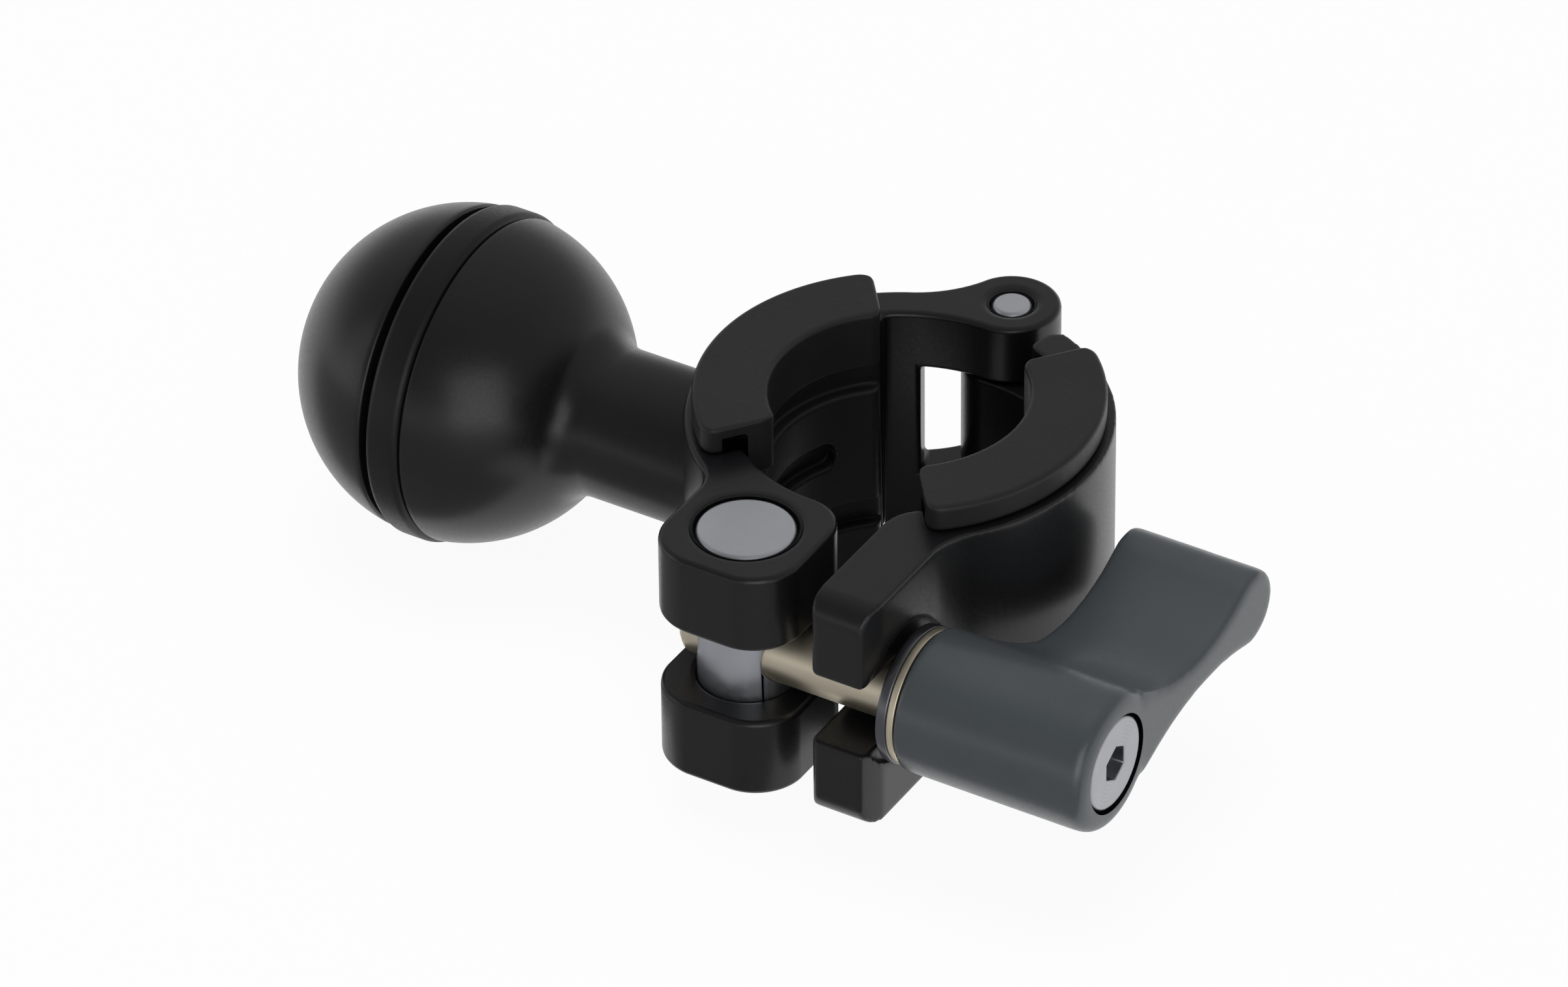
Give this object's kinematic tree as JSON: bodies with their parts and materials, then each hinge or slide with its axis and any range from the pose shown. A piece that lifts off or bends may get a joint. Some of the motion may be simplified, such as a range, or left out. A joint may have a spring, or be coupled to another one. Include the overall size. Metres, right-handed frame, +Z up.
{
  "type": "ball joint clamp",
  "caption": "Hinged rod clamp with rubber-lined jaws, a ball stud on the fixed jaw and a swing-out bolt tightened by an indexing lever.",
  "frame": {"origin": "centre of the rod bore between the pads, at mid height of the jaws", "axes": "+Z up along the rod, -X towards the ball, +X towards the lever's end, +Y towards the hinge, -Y towards the clamping bolt"},
  "size_m": [0.0779, 0.0435, 0.0256],
  "materials": {
    "anodised_black": "satin black anodised",
    "pad_rubber": "matte moulded",
    "ring_rubber": "semi-matte moulded",
    "steel": "turned",
    "washer_steel": "ground",
    "bolt_metal": "warm satin plating",
    "lever_paint": "grey satin coating on a die casting",
    "screw_steel": "bright zinc"
  },
  "bodies": {
    "clamp_body": {"fixed_jaw": "anodised_black", "fixed_pad": "pad_rubber", "ball_stud": "anodised_black", "ball_o_ring": "ring_rubber", "stud_screw": "steel", "hinge_pin": "steel"},
    "hinged_jaw": {"moving_jaw": "anodised_black", "moving_pad": "pad_rubber"},
    "swing_nut": {"barrel_nut": "steel"},
    "bolt_washer": {"thrust_washer": "washer_steel"},
    "bolt": {"clamp_bolt": "bolt_metal", "lever_screw": "screw_steel"},
    "lever_handle": {"lever": "lever_paint", "lever_spring": "steel"}
  },
  "joints": [
    {"name": "jaw_hinge", "type": "hinge", "parent": "clamp_body", "child": "hinged_jaw", "pos_m": [0, 0.01635, 0], "axis": [0, 0, 1], "range_deg": [-1.12, 5.01]},
    {"name": "bolt_swing", "type": "hinge", "parent": "clamp_body", "child": "swing_nut", "pos_m": [-0.0024, -0.0175, 0], "axis": [0, 0, -1], "range_deg": [0, 100]},
    {"name": "bolt_feed", "type": "slide", "parent": "swing_nut", "child": "bolt_washer", "axis": [1, 0, 0], "range_m": [-0.0008, 0.0036]},
    {"name": "lever_turn", "type": "hinge", "parent": "bolt_washer", "child": "bolt", "pos_m": [0.012, -0.0175, 0], "axis": [1, 0, 0], "range_deg": [-361, 1622]},
    {"name": "lever_lift", "type": "slide", "parent": "bolt", "child": "lever_handle", "axis": [1, 0, 0], "range_m": [0, 0.0025], "stiffness_N_per_m": 800, "springref_m": -0.0008, "deforming": ["lever_spring"]}
  ],
  "couplings": [
    {"joint": "jaw_hinge", "follows": "bolt_feed", "rad_per_m": 24.241},
    {"joint": "lever_turn", "follows": "bolt_feed", "rad_per_m": 7854}
  ]
}
